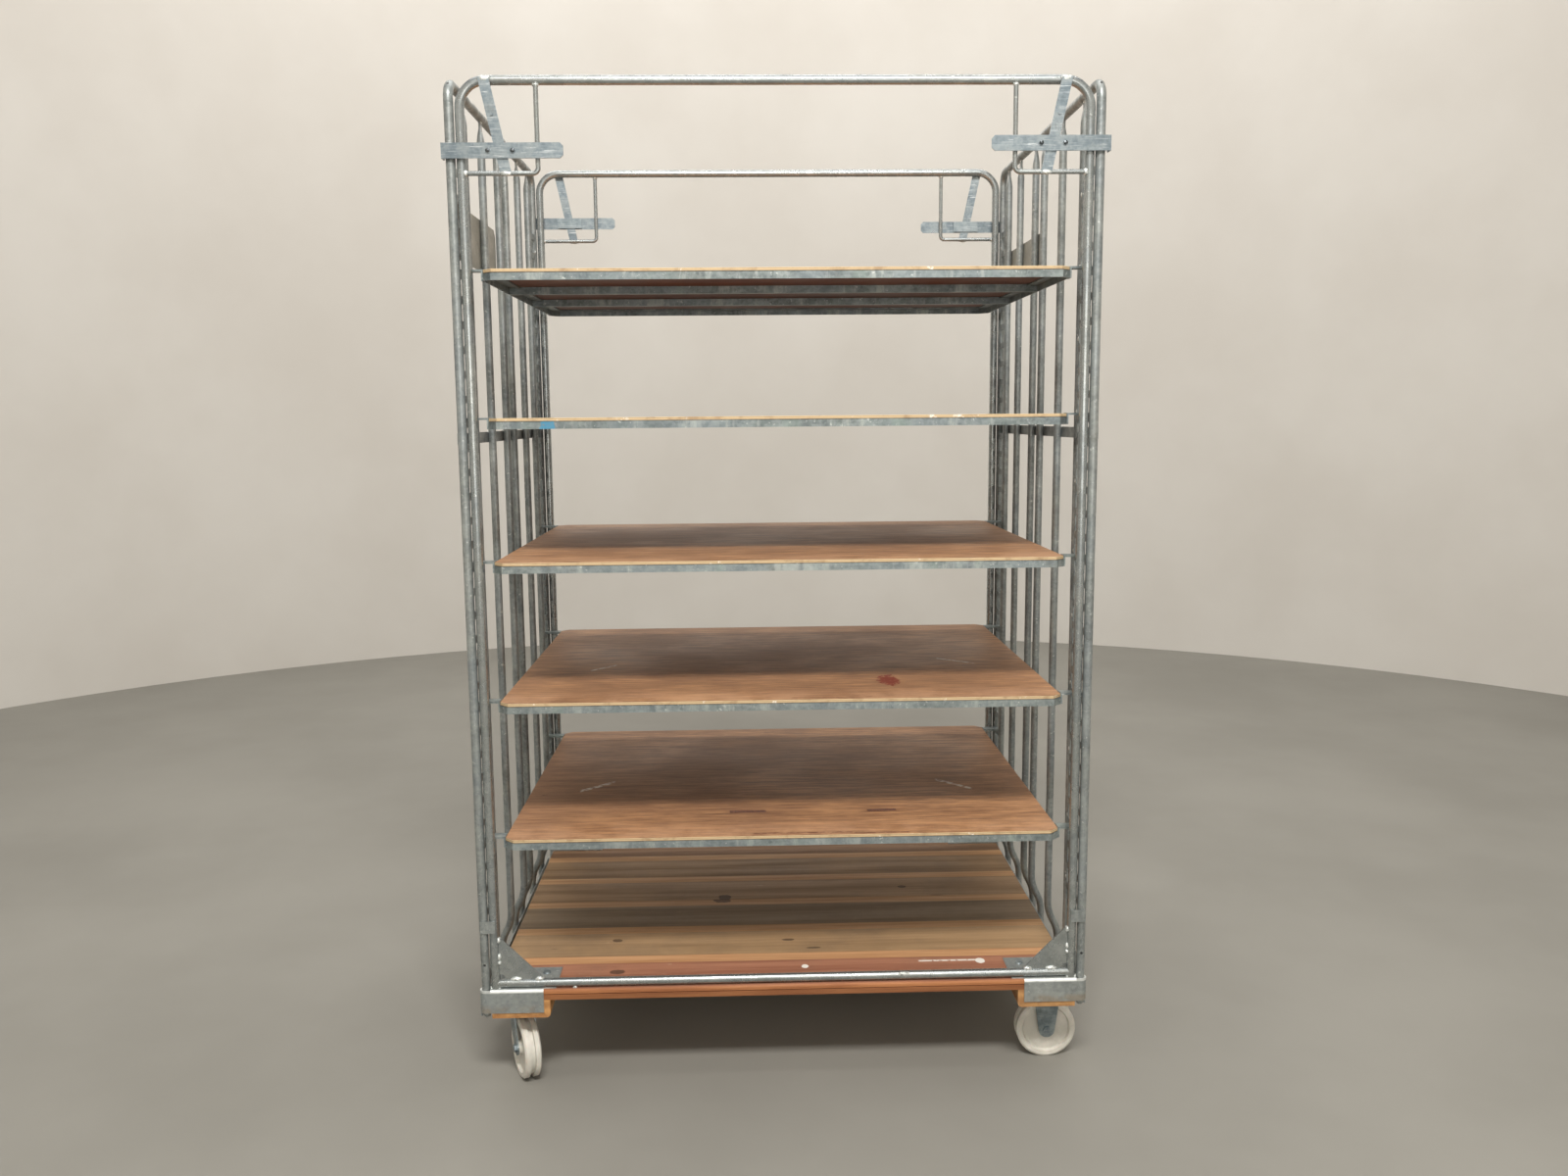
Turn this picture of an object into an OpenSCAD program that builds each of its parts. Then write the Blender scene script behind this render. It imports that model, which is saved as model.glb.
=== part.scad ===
// Shelf trolley with a timber deck, two portal frames, two lift-out side panels,
// five hook-on shelves, four wedge latches and four casters.
// X runs left to right, Y runs front to back, Z is up from the floor.
// Corner parts are drawn once in the +X +Y quarter and mirrored to their corner.

/* [Deck] */
// Length of the timber deck, left to right
deck_l = 1184; // [1170:1:1184]
// Depth of the timber deck, front to back
deck_d = 920; // [910:1:930]
// Thickness of the deck boards
plank_t = 22; // [18:1:24]
// Gap between deck boards
plank_gap = 1; // [1:0.5:4]
// Width of the cross runners under the board ends
runner_w = 117; // [110:1:125]
// Height of the cross runners
runner_h = 37; // [30:1:45]
// Sheet thickness of the corner caps
cap_t = 2.5; // [2:0.5:3]
// Length of a cap's front face
cap_l = 107; // [90:1:115]
// Height of a cap's faces
cap_h = 50; // [40:1:52]

/* [Portal frames] */
// Distance from the middle to a portal post
post_x = 584; // [583:0.5:584.5]
// Distance from the middle to a portal plane
portal_y = 450; // [449:0.5:451]
// Outside radius of the frame tube
tube_r = 9; // [8.8:0.1:9]
// Outside radius of the bottom tube
foot_tube_r = 8.4; // [7.5:0.1:8.6]
// Height of the portals above the floor
portal_top = 1980; // [1960:1:2000]
// Centreline bend radius of the portal corners
portal_bend = 49; // [30:1:60]
// Leg length of the corner gussets
gusset_leg = 86; // [60:1:100]
// Plate thickness of the corner gussets
gusset_t = 4; // [3:0.5:6]

/* [Latches] */
// Angle of the inclined guide strap from vertical
strap_tilt = 12; // [11:0.5:13]
// Width of the guide strap
strap_w = 20; // [16:1:24]
// Height of a latch bar
bar_h = 28; // [24:1:30]
// Length of a latch bar from the rivet centre to its inner end
bar_reach = 115; // [90:1:120]
// Distance between the two rivets
rivet_gap = 45; // [40:1:50]
// Radius of the rivets
rivet_r = 3; // [2.5:0.1:3.5]
// Radius of the guide wire
wire_r = 4.5; // [4:0.1:4.6]

/* [Side panels] */
// Radius of the panel bars
bar_r = 8; // [7:0.1:8]
// Height of the panel rail's centre
rail_z = 1969; // [1950:1:1980]
// Spacing of the slotted rungs
rung_pitch = 46.5; // [45:0.5:46.5]
// Height of one hook slot
slot_h = 32; // [28:1:34]
// Height of the name plate
plate_h = 105; // [60:1:110]

/* [Shelves] */
// Height of the lowest shelf's top face
shelf_low_z = 520; // [505:1:525]
// Rungs from one shelf to the next
shelf_step = 6; // [5:1:6]
// Half the length of a shelf
shelf_x = 561; // [555:1:563]
// Half the depth of a shelf
shelf_y = 435; // [430:1:437]
// Corner chamfer of a shelf
shelf_cut = 18; // [14:1:20]
// Thickness of the plywood
board_t = 6; // [5:1:9]
// Height of the shelf's angle rim
rim_h = 15; // [12:1:18]
// Width of the hook lugs
lug_w = 25; // [20:1:26]

/* [Casters] */
// Radius of the wheels
wheel_r = 62.5; // [60:0.5:63]
// Width of the wheel rims
wheel_w = 34; // [30:1:35]
// Height from the floor to the runners
caster_h = 156; // [154:1:160]
// Distance from the middle to a caster, left to right
caster_x = 556; // [550:1:558]
// Distance from the middle to a caster, front to back
caster_y = 355; // [350:1:370]
// Offset of the swivel wheels behind their kingpins
trail = 44; // [38:1:45]
// Direction in which the front swivel wheel trails
front_swivel = -66; // [-180:1:180]
// Direction in which the rear swivel wheel trails
rear_swivel = -52; // [-180:1:180]

/* [Hidden] */

$fn = 48;
ZINC = [0.60, 0.63, 0.64];
PALE_ZINC = [0.70, 0.74, 0.77];
PINE = [0.72, 0.44, 0.26];
PLYWOOD = [0.72, 0.52, 0.36];
NYLON = [0.90, 0.88, 0.82];

// Deck levels
eps = 0.05;
plank_z = caster_h + runner_h;
deck_z = plank_z + plank_t;
cap_z = deck_z + cap_t;
plank_count = 6;
plank_pitch = (deck_d + plank_gap) / plank_count;
deck_x = deck_l / 2;
deck_y = deck_d / 2;
cap_out_y = deck_y + cap_t;
cap_out_x = deck_x + cap_t;
cap_flange_x = cap_out_x - 131.5;
cap_flange_y = 360;
cap_side_y = 355;
fold_r = 8;
edge_r = fold_r - cap_t + eps;
groove_z = plank_z + plank_t / 2;
groove_half = 1.6;
groove_in = 4;
foot_bolt_x = cap_flange_x + 29;
foot_bolt_y = 385;
bolt_r = 4;
hole_r = bolt_r + eps;
hex_r = 7.5;
hex_t = 4.4;
dome_r = 8.5;
dome_t = 2.6;

// Portal levels
portal_foot = cap_z + 0.1;
tube_z = portal_top - tube_r;
foot_tube_z = portal_foot + foot_tube_r + 0.4;

// Latch stack, measured outwards from the portal plane
strap_y = tube_r + 0.2;
wire_y = strap_y - 0.1 - wire_r;
strap_t = 3;
latch_y = strap_y + strap_t + 0.3;
latch_t = 3;
keeper_t = 2.5;
keeper_y = strap_y - 0.3 - keeper_t;
keeper_l = 62;
wire_x = 443;
wire_z = 1805;
wire_bend = 10;
strap_top_x = 536;
strap_top_z = portal_top - 6;
strap_foot_z = 1801;
nib_z = 1909;
nib_r = 3;
slope = tan(strap_tilt);
panel_x = post_x + 20;
hook_home_z = 1837;
hook_home_x = panel_x + tube_r + 0.6;
hook_back = 4;
latch_z_front_left = 1844;
latch_z_front_right = 1855;
latch_z_rear_left = 1850;
latch_z_rear_right = 1837;

// Side panel levels
shelf_count = 5;
rail_bend = 30;
bar_x = panel_x;
pin_r = 8.4;
pin_top = 337;
pin_foot = 157.6;
pin_cone = 5;
pin_hole_r = 3;
pin_hole_z = 268;
clip_z = 336;
clip_h = 25;
clip_t = 3;
loop_r = 9.2;
loop_t = 3;
bars_y = [-335, -168, -5, 80, 240, 375];
bar_foot_x = bar_x + 24;
bar_foot_z = 146;
bend_z = 174;
bend_r = 90;
bend_a = acos(1 - (bar_foot_x - bar_x) / (2 * bend_r));
bend_top = bend_z + 2 * bend_r * sin(bend_a);
knee_a = 0.1;
knee_r = bar_r + 0.05;
knee_l = 4;
bar_top = rail_z - tube_r - 0.1;
taper_z = bar_top - 45;
taper_h = 32;
flat_half = 1.75;
first_rung = -3;
last_rung = 27;
ladder_x = panel_x - 5;
ladder_t = 2.5;
rung_z0 = shelf_low_z - 3 - eps;
rung_h = rung_pitch - slot_h;
ladder_in_y = bar_r + eps - bars_y[0];
ladder_back_y = bars_y[5] + bar_r + eps;
ladder_out_y = portal_y - tube_r + 0.3;
slot_margin = 6;
strip_x = bar_x + bar_r + eps;
strip_t = 3;
strip_z = shelf_z(2) - 50;
strip_h = 22;
low_strip_z = 150;
low_strip_x = bar_foot_x - bar_r - strip_t - eps;
strip_y = portal_y - sqrt(pow(tube_r, 2) - pow(bar_r + eps, 2)) - 0.2;
low_strip_y = portal_y - 14;
plate_z = 1660;
plate_y0 = 12;
plate_y1 = 430;
plate_cut = 15;
plate_t = 1.5;

// Shelf details
rim_t = 3;
flange_w = 25;
rib_y = 145;
rib_w = 20;
lug_y = 391;
lug_t = 4;
lug_drop = 3;
lip_h = 8;
lip_x = ladder_x + ladder_t + 1.5;
rim_step = 1.4;
board_inset = 1.5;
board_over = 0.5;

// Caster details
plate_t_caster = 4;
plate_x_caster = 84;
plate_y_caster = 104;
screw_x = 26;
screw_y = 42;
screw_l = 34;
race_r = 31;
race_h = 5.8;
fork_r = 34;
fork_z = 140;
fork_t = 5.7;
king_r = 6;
king_clear = 0.06;
king_nut_r = 10;
king_nut_t = 8.2;
leg_gap = 1.5;
leg_t = 3.5;
leg_end_r = 15;
axle_r = 5;
axle_head_r = 8.5;
axle_head_t = 5;
hub_r = 14;
web_w = 22;
tread_groove_w = 8;
tread_groove_d = 6;
bracket_end_r = 17;
bracket_top = 29;
rib_top = 18;
rib_foot = 10;
rib_foot_z = wheel_r + 16;
rib_out = 1.8;

// ---- shared shapes ----

// Mirrors a part drawn in the +X +Y quarter to the corner with signs sx, sy
module at_corner(sx, sy) {
    mirror([sx < 0 ? 1 : 0, 0, 0])
        mirror([0, sy < 0 ? 1 : 0, 0])
            children();
}

// Box from its lowest to its highest corner
module block(low, high) {
    translate(low)
        cube(high - low);
}

// Turns a shape drawn in the XY plane upright into the XZ plane
module upright_xz() {
    rotate([90, 0, 0])
        children();
}

// Turns a shape drawn in the XY plane upright into the YZ plane
module upright_yz() {
    rotate([90, 0, 90])
        children();
}

// Extrudes an XZ outline from y0 to y1
module prism_y(points, y0, y1) {
    translate([0, y1, 0])
        upright_xz()
            linear_extrude(y1 - y0)
                polygon(points);
}

// Round bar along X, Y or Z
module rod_x(from, length, r) {
    translate(from)
        rotate([0, 90, 0])
            cylinder(h = length, r = r);
}

module rod_y(from, length, r) {
    translate(from)
        rotate([-90, 0, 0])
            cylinder(h = length, r = r);
}

// Round elbow in the XY plane, from start degrees through sweep degrees
module elbow(centre, start, sweep, bend, r) {
    translate(centre)
        rotate([0, 0, start])
            rotate_extrude(angle = sweep)
                translate([bend, 0])
                    circle(r = r);
}

// Inverted U of tube in the XY plane, with X as its width and Y as its height
module u_tube(half_w, foot, top, bend, r) {
    for (s = [-1, 1]) {
        rod_y([s * half_w, foot, 0], top - bend - foot, r);
        elbow([s * (half_w - bend), top - bend, 0], s > 0 ? 0 : 90, 90, bend, r);
    }
    rod_x([bend - half_w, top, 0], 2 * (half_w - bend), r);
}

// ---- deck ----

// Foot bolt holes through the outer boards, runners and caps
module foot_bolt_holes(z0, z1) {
    for (sx = [-1, 1], sy = [-1, 1])
        translate([sx * foot_bolt_x, sy * foot_bolt_y, z0])
            cylinder(h = z1 - z0, r = hole_r);
}

// Points along an arc in the YZ plane
function arc(centre, r, start, end) = [
    for (i = [0 : 6]) let (a = start + (end - start) * i / 6) centre + r * [cos(a), sin(a)]
];

// Deck board drawn on the rear side; an outermost board has its matching groove showing
// and its top edge rounded
module board_at(y0, y1, outermost) {
    bend = [y1 - edge_r, deck_z - edge_r];
    groove = [[y1, groove_z - groove_half], [y1 - groove_in, groove_z], [y1, groove_z + groove_half]];
    top = outermost ? concat(groove, arc(bend, edge_r, 0, 90)) : [[y1, deck_z]];
    difference() {
        translate([-deck_x, 0, 0])
            upright_yz()
                linear_extrude(deck_l)
                    polygon(concat([[y0, deck_z], [y0, plank_z], [y1, plank_z]], top));
        foot_bolt_holes(plank_z - 1, deck_z + 1);
    }
}

// Board i counted from the front
module deck_plank(i) {
    front = i <= plank_count / 2;
    row = front ? plank_count / 2 - i : i - plank_count / 2 - 1;
    y0 = plank_gap / 2 + row * plank_pitch;
    color(PINE)
        at_corner(1, front ? -1 : 1)
            board_at(y0, y0 + plank_pitch - plank_gap, i == 1 || i == plank_count);
}

// Cross runner with its lower inner edge rounded
module runner(side) {
    inner_x = deck_x - runner_w;
    round_r = 8;
    outline = concat(
        [[deck_x, caster_h], [deck_x, plank_z], [inner_x, plank_z]],
        [for (a = [180 : 15 : 270])
            [inner_x + round_r + round_r * cos(a), caster_h + round_r + round_r * sin(a)]]);
    color(PINE)
        at_corner(side, 1)
            difference() {
                prism_y(outline, -deck_y, deck_y);
                foot_bolt_holes(caster_h - 1, plank_z + 1);
                for (sy = [-1, 1], dx = [-screw_x, screw_x], dy = [-screw_y, screw_y])
                    translate([caster_x + dx, sy * caster_y + dy, caster_h - 1])
                        cylinder(h = screw_l - plate_t_caster + 2, r = hole_r);
            }
}

// Folded sheet over one deck corner, with the socket loop for a side panel's pin
module corner_cap(sx, sy) {
    face_x = cap_out_x - cap_l;
    low = cap_z - cap_h;
    bend = [cap_out_y - fold_r, cap_z - fold_r];
    section = concat(
        [[cap_flange_y, deck_z], [cap_flange_y, cap_z]], arc(bend, fold_r, 90, 0),
        [[cap_out_y, low], [deck_y, low]], arc(bend, fold_r - cap_t, 0, 90));
    color(ZINC)
        at_corner(sx, sy) {
            difference() {
                union() {
                    translate([face_x, 0, 0])
                        upright_yz()
                            linear_extrude(cap_l)
                                polygon(section);
                    block([cap_flange_x, cap_flange_y, deck_z], [face_x + 1, cap_out_y - fold_r, cap_z]);
                    block([deck_x, cap_side_y, low], [cap_out_x, bend.x, cap_z]);
                    block([deck_x, bend.x - 1, low], [cap_out_x, deck_y + 1, bend.y]);
                }
                foot_bolt_holes(deck_z - 1, cap_z + 1);
            }
            socket_loop(low, deck_z);
        }
}

// Strap bent round the pin, standing on the cap's outer face
module socket_loop(low, high) {
    difference() {
        translate([panel_x, portal_y, low])
            cylinder(h = high - low, r = loop_r + loop_t);
        translate([panel_x, portal_y, low - 1])
            cylinder(h = high - low + 2, r = loop_r);
        block([panel_x - 20, portal_y - 20, low - 1], [panel_x, portal_y + 20, high + 1]);
    }
    for (s = [-1, 1])
        translate([cap_out_x - 0.5, portal_y + s * (loop_r + loop_t / 2) - loop_t / 2 + 0.2, low])
            cube([panel_x - cap_out_x + 0.5, loop_t - 0.4, high - low]);
}

// Hex head or nut
module hex(at, r, t) {
    translate(at)
        cylinder(h = t, r = r, $fn = 6);
}

// Foot bolts through the deck and lag screws through the caster plates
module deck_bolts() {
    color(PALE_ZINC) {
        for (sx = [-1, 1], sy = [-1, 1]) {
            at = [sx * foot_bolt_x, sy * foot_bolt_y];
            translate([at.x, at.y, cap_z])
                cylinder(h = dome_t, r1 = dome_r, r2 = dome_r - dome_t / 2);
            translate([at.x, at.y, caster_h - hex_t - 3])
                cylinder(h = cap_z - caster_h + hex_t + 4, r = bolt_r);
            hex([at.x, at.y, caster_h - hex_t], hex_r, hex_t);
        }
        for (sx = [-1, 1], sy = [-1, 1], dx = [-screw_x, screw_x], dy = [-screw_y, screw_y]) {
            at = [sx * caster_x + dx, sy * caster_y + dy];
            hex([at.x, at.y, caster_h - plate_t_caster - hex_t], hex_r, hex_t);
            translate([at.x, at.y, caster_h - plate_t_caster - 1])
                cylinder(h = screw_l, r = bolt_r);
        }
    }
}

// ---- portal frames ----

// Corner gusset between post and bottom tube, with a weld relief
module gusset() {
    inner_x = post_x - tube_r;
    foot_z = foot_tube_z + foot_tube_r;
    outline = [
        [post_x - 4, foot_z - 4], [inner_x - gusset_leg, foot_z - 4], [inner_x - gusset_leg, foot_z + 3],
        [inner_x - 4, foot_z + gusset_leg], [post_x - 4, foot_z + gusset_leg]
    ];
    difference() {
        prism_y(outline, -gusset_t / 2, gusset_t / 2);
        rod_y([inner_x - 2, -gusset_t, foot_z + 2], 2 * gusset_t, tube_r);
    }
}

// Guide wire: down from the top tube, round a bend and out to the post
module guide_wire() {
    low_z = wire_z + wire_bend;
    translate([wire_x, wire_y, low_z])
        cylinder(h = tube_z - 5 - low_z, r = wire_r);
    translate([0, wire_y, 0])
        upright_xz()
            elbow([wire_x + wire_bend, low_z, 0], 180, 90, wire_bend, wire_r);
    rod_x([wire_x + wire_bend, wire_y, wire_z], post_x - 6 - wire_x - wire_bend, wire_r);
}

module portal(sy) {
    color(ZINC)
        at_corner(1, sy)
            translate([0, portal_y, 0]) {
                upright_xz()
                    u_tube(post_x, portal_foot, tube_z, portal_bend, tube_r);
                rod_x([-post_x, 0, foot_tube_z], 2 * post_x, foot_tube_r);
                for (sx = [-1, 1])
                    at_corner(sx, 1) {
                        gusset();
                        guide_wire();
                    }
            }
}

// Centre of the guide strap at height z
function strap_x(z) = strap_top_x - (strap_top_z - 6 - z) * slope;

module latch_guides(sy) {
    half = strap_w / (2 * cos(strap_tilt));
    outline = [
        [strap_x(strap_foot_z) - half, strap_foot_z], [strap_x(strap_foot_z) + half, strap_foot_z],
        [strap_x(strap_top_z) + half, strap_top_z], [strap_x(strap_top_z) - half, strap_top_z]
    ];
    color(PALE_ZINC)
        for (sx = [-1, 1])
            at_corner(sx, sy)
                translate([0, portal_y, 0]) {
                    prism_y(outline, strap_y, strap_y + strap_t);
                    rod_y([strap_x(nib_z), strap_y + 1, nib_z], strap_t + 1, nib_r);
                }
}

// ---- latches ----

// Latch bar with its hooked outer end round the panel's post
module latch_bar(sx, sy, z) {
    centre = strap_x(z);
    hook_x = hook_home_x + (z - hook_home_z) * slope;
    half = bar_h / 2;
    inner = centre - bar_reach;
    outer = hook_x + latch_t;
    nip = 6;
    outline = [
        [inner + nip, z - half], [outer, z - half], [outer, z + half],
        [inner + nip, z + half], [inner, z + half - nip], [inner, z - half + nip]
    ];
    color(PALE_ZINC)
        at_corner(sx, sy)
            translate([0, portal_y, 0]) {
                difference() {
                    prism_y(outline, latch_y, latch_y + latch_t);
                    for (s = [-1, 1])
                        rod_y([centre + s * rivet_gap / 2, latch_y - 1, z], latch_t + 2, rivet_r + eps);
                }
                block([hook_x, -hook_back, z - half], [outer, latch_y + 1, z + half]);
            }
}

// Keeper plate behind the strap, with the two rivets that hold it to the bar
module latch_keeper(sx, sy, z) {
    centre = strap_x(z);
    color(ZINC)
        at_corner(sx, sy)
            translate([0, portal_y, 0]) {
                block(
                    [centre - keeper_l / 2, keeper_y, z - bar_h / 2 + 2],
                    [centre + keeper_l / 2, keeper_y + keeper_t, z + bar_h / 2 - 2]);
                for (s = [-1, 1]) {
                    rod_y([centre + s * rivet_gap / 2, keeper_y + 1, z],
                        latch_y + latch_t + 1 - keeper_y, rivet_r);
                    rod_y([centre + s * rivet_gap / 2, latch_y + latch_t + eps, z], 2, rivet_r + 1.8);
                }
            }
}

// ---- side panels ----

// Clip riveted to the panel's post and lapping the portal's post
module post_clip() {
    front = portal_y + tube_r + 0.1;
    block([post_x - 5, front, clip_z], [panel_x + 5, front + clip_t, clip_z + clip_h]);
    rod_y([panel_x, portal_y, clip_z + clip_h / 2], tube_r + clip_t + 1.6, pin_hole_r);
}

// Reduced lower end of a panel post with its chamfered tip and cross hole
module foot_pin() {
    difference() {
        union() {
            translate([panel_x, portal_y, pin_foot])
                cylinder(h = pin_cone, r1 = pin_r - 3, r2 = pin_r);
            translate([panel_x, portal_y, pin_foot + pin_cone])
                cylinder(h = pin_top - pin_foot - pin_cone, r = pin_r);
        }
        rod_y([panel_x, portal_y - 2 * tube_r, pin_hole_z], 4 * tube_r, pin_hole_r);
    }
}

module side_frame(side) {
    color(ZINC)
        at_corner(side, 1) {
            translate([panel_x, 0, 0])
                upright_yz()
                    u_tube(portal_y, pin_top, rail_z, rail_bend, tube_r);
            for (sy = [-1, 1])
                at_corner(1, sy) {
                    foot_pin();
                    post_clip();
                }
        }
}

// One upright bar: joggled outwards past the deck, its top flattened under the rail
module panel_bar(y) {
    difference() {
        translate([bar_x, y, bend_top])
            cylinder(h = bar_top - bend_top, r = bar_r);
        prism_y([
            [bar_x + bar_r + 1, taper_z], [bar_x + flat_half, taper_z + taper_h],
            [bar_x + flat_half, bar_top + 1], [bar_x + bar_r + 1, bar_top + 1]
        ], y - bar_r - 1, y + bar_r + 1);
        prism_y([
            [bar_x - bar_r - 1, taper_z], [bar_x - flat_half, taper_z + taper_h],
            [bar_x - flat_half, bar_top + 1], [bar_x - bar_r - 1, bar_top + 1]
        ], y - bar_r - 1, y + bar_r + 1);
    }
    translate([0, y, 0])
        upright_xz() {
            elbow([bar_foot_x - bend_r, bend_z, 0], 0, bend_a - knee_a, bend_r, bar_r);
            elbow([bar_x + bend_r, bend_top, 0], 180, bend_a - knee_a, bend_r, bar_r);
            translate([(bar_x + bar_foot_x) / 2, (bend_z + bend_top) / 2, 0])
                rotate([0, 0, bend_a])
                    rod_y([0, -knee_l / 2, 0], knee_l, knee_r);
        }
    translate([bar_foot_x, y, bar_foot_z])
        cylinder(h = bend_z - bar_foot_z, r = bar_r);
}

module side_bars(side) {
    color(ZINC)
        at_corner(side, 1)
            for (y = bars_y)
                panel_bar(y);
}

// Slotted strip between a post and its neighbouring bar, for the shelf hooks
module ladder(y0, y1) {
    difference() {
        block(
            [ladder_x, y0, rung_z0 + first_rung * rung_pitch - rung_h],
            [ladder_x + ladder_t, y1, rung_z0 + (last_rung + 1) * rung_pitch]);
        for (n = [first_rung : last_rung])
            block(
                [ladder_x - 1, y0 + slot_margin, rung_z0 + n * rung_pitch],
                [ladder_x + ladder_t + 1, y1 - slot_margin, rung_z0 + n * rung_pitch + slot_h]);
    }
}

module side_ladders(side) {
    color(ZINC)
        at_corner(side, 1) {
            ladder(-ladder_out_y, -ladder_in_y);
            ladder(ladder_back_y, ladder_out_y);
        }
}

// Flat strips across the bars: one outside at mid height, one inside at their feet
module side_strips(side) {
    color(ZINC)
        at_corner(side, 1) {
            block([strip_x, -strip_y, strip_z], [strip_x + strip_t, strip_y, strip_z + strip_h]);
            block(
                [low_strip_x, -low_strip_y, low_strip_z],
                [low_strip_x + strip_t, low_strip_y, low_strip_z + strip_h]);
        }
}

// Blank name plate with cut corners, on one half of the panel
module side_plate(side) {
    y0 = plate_y0;
    y1 = plate_y1;
    z0 = plate_z;
    z1 = plate_z + plate_h;
    outline = [
        [y0 + plate_cut, z0], [y1 - plate_cut, z0], [y1, z0 + plate_cut], [y1, z1 - plate_cut],
        [y1 - plate_cut, z1], [y0 + plate_cut, z1], [y0, z1 - plate_cut], [y0, z0 + plate_cut]
    ];
    color(PALE_ZINC)
        at_corner(side, side)
            translate([strip_x, 0, 0])
                upright_yz()
                    linear_extrude(plate_t)
                        polygon(outline);
}

// ---- shelves ----

// Height of the top face of shelf k, counted from the top
function shelf_z(k) = shelf_low_z + (shelf_count - k) * shelf_step * rung_pitch;

// Rectangle with cut corners, centred
module cut_plate(half_x, half_y, cut, z0, z1) {
    outline = [
        [half_x - cut, -half_y], [half_x, cut - half_y], [half_x, half_y - cut], [half_x - cut, half_y],
        [cut - half_x, half_y], [-half_x, half_y - cut], [-half_x, cut - half_y], [cut - half_x, -half_y]
    ];
    translate([0, 0, z0])
        linear_extrude(z1 - z0)
            polygon(outline);
}

// Lug bent up from the rim, out through a slot and down over its rung
module shelf_lug(top) {
    low = top - board_t - rim_h;
    seat = top - lug_drop;
    block([shelf_x - 0.5, lug_y, low], [shelf_x + rim_t, lug_y + lug_w, seat + lug_t]);
    block([shelf_x + 1, lug_y, seat], [lip_x + rim_t, lug_y + lug_w, seat + lug_t]);
    block([lip_x, lug_y, seat - lip_h], [lip_x + rim_t, lug_y + lug_w, seat + 1]);
}

module shelf_frame(k) {
    top = shelf_z(k);
    high = top - board_t;
    low = high - rim_h;
    color(ZINC) {
        difference() {
            union() {
                cut_plate(shelf_x, shelf_y, shelf_cut, low, high - rim_step);
                cut_plate(shelf_x - rim_step, shelf_y - rim_step, shelf_cut, low, high);
            }
            cut_plate(shelf_x - rim_t, shelf_y - rim_t, shelf_cut, low - 1, high - rim_t);
            block(
                [flange_w - shelf_x, flange_w - shelf_y, low - 1],
                [shelf_x - flange_w, shelf_y - flange_w, high + 1]);
        }
        for (s = [-1, 1])
            block(
                [1 - shelf_x, s * rib_y - rib_w / 2, low],
                [shelf_x - 1, s * rib_y + rib_w / 2, high]);
        for (sx = [-1, 1], sy = [-1, 1])
            at_corner(sx, sy)
                shelf_lug(top);
    }
}

module shelf_board(k) {
    top = shelf_z(k);
    color(PLYWOOD)
        cut_plate(shelf_x - board_inset, shelf_y + board_over, shelf_cut, top - board_t, top);
}

// ---- casters ----

// Top plate with its four screw holes
module caster_top() {
    difference() {
        block(
            [-plate_x_caster / 2, -plate_y_caster / 2, caster_h - plate_t_caster],
            [plate_x_caster / 2, plate_y_caster / 2, caster_h]);
        for (dx = [-screw_x, screw_x], dy = [-screw_y, screw_y])
            translate([dx, dy, caster_h - plate_t_caster - 1])
                cylinder(h = plate_t_caster + 2, r = hole_r);
    }
}

// Swivel head: top plate, ball race and kingpin with its nut
module swivel_plate(sy) {
    race_z = caster_h - plate_t_caster - race_h;
    color(ZINC)
        translate([-caster_x, sy * caster_y, 0]) {
            caster_top();
            translate([0, 0, race_z])
                cylinder(h = race_h + 1, r = race_r);
            translate([0, 0, fork_z - king_nut_t])
                cylinder(h = race_z - fork_z + king_nut_t + 1, r = king_r);
            hex([0, 0, fork_z - 0.3 - king_nut_t], king_nut_r, king_nut_t);
        }
}

// Fork leg outline: a taper from the top down to a round end at the axle
module leg(top, top_low_x, top_high_x, axle_x, end_r, y0) {
    difference() {
        union() {
            prism_y([
                [top_low_x, top], [top_high_x, top], [axle_x + end_r, wheel_r], [axle_x - end_r, wheel_r]
            ], y0, y0 + leg_t);
            rod_y([axle_x, y0, wheel_r], leg_t, end_r);
        }
        rod_y([axle_x, y0 - 1, wheel_r], leg_t + 2, axle_r + eps);
    }
}

// Two legs, one each side of the wheel
module legs(top, top_low_x, top_high_x, axle_x, end_r) {
    in_y = wheel_w / 2 + leg_gap;
    leg(top, top_low_x, top_high_x, axle_x, end_r, in_y);
    leg(top, top_low_x, top_high_x, axle_x, end_r, -in_y - leg_t);
}

module swivel_fork(sy, angle) {
    color(ZINC)
        translate([-caster_x, sy * caster_y, 0])
            rotate([0, 0, angle]) {
                difference() {
                    translate([0, 0, fork_z])
                        cylinder(h = fork_t, r = fork_r);
                    translate([0, 0, fork_z - 1])
                        cylinder(h = fork_t + 2, r = king_r + king_clear);
                }
                legs(fork_z + fork_t - 0.5, -24, 30, trail, leg_end_r);
            }
}

// Axle bolt along Y through both legs, with head and nut
module axle(axle_x) {
    out_y = wheel_w / 2 + leg_gap + leg_t;
    rod_y([axle_x, -out_y - axle_head_t, wheel_r], 2 * (out_y + axle_head_t) + 2, axle_r);
    for (y = [-out_y - axle_head_t, out_y])
        translate([axle_x, y, wheel_r])
            rotate([-90, 0, 0])
                cylinder(h = axle_head_t, r = axle_head_r, $fn = 6);
}

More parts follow.
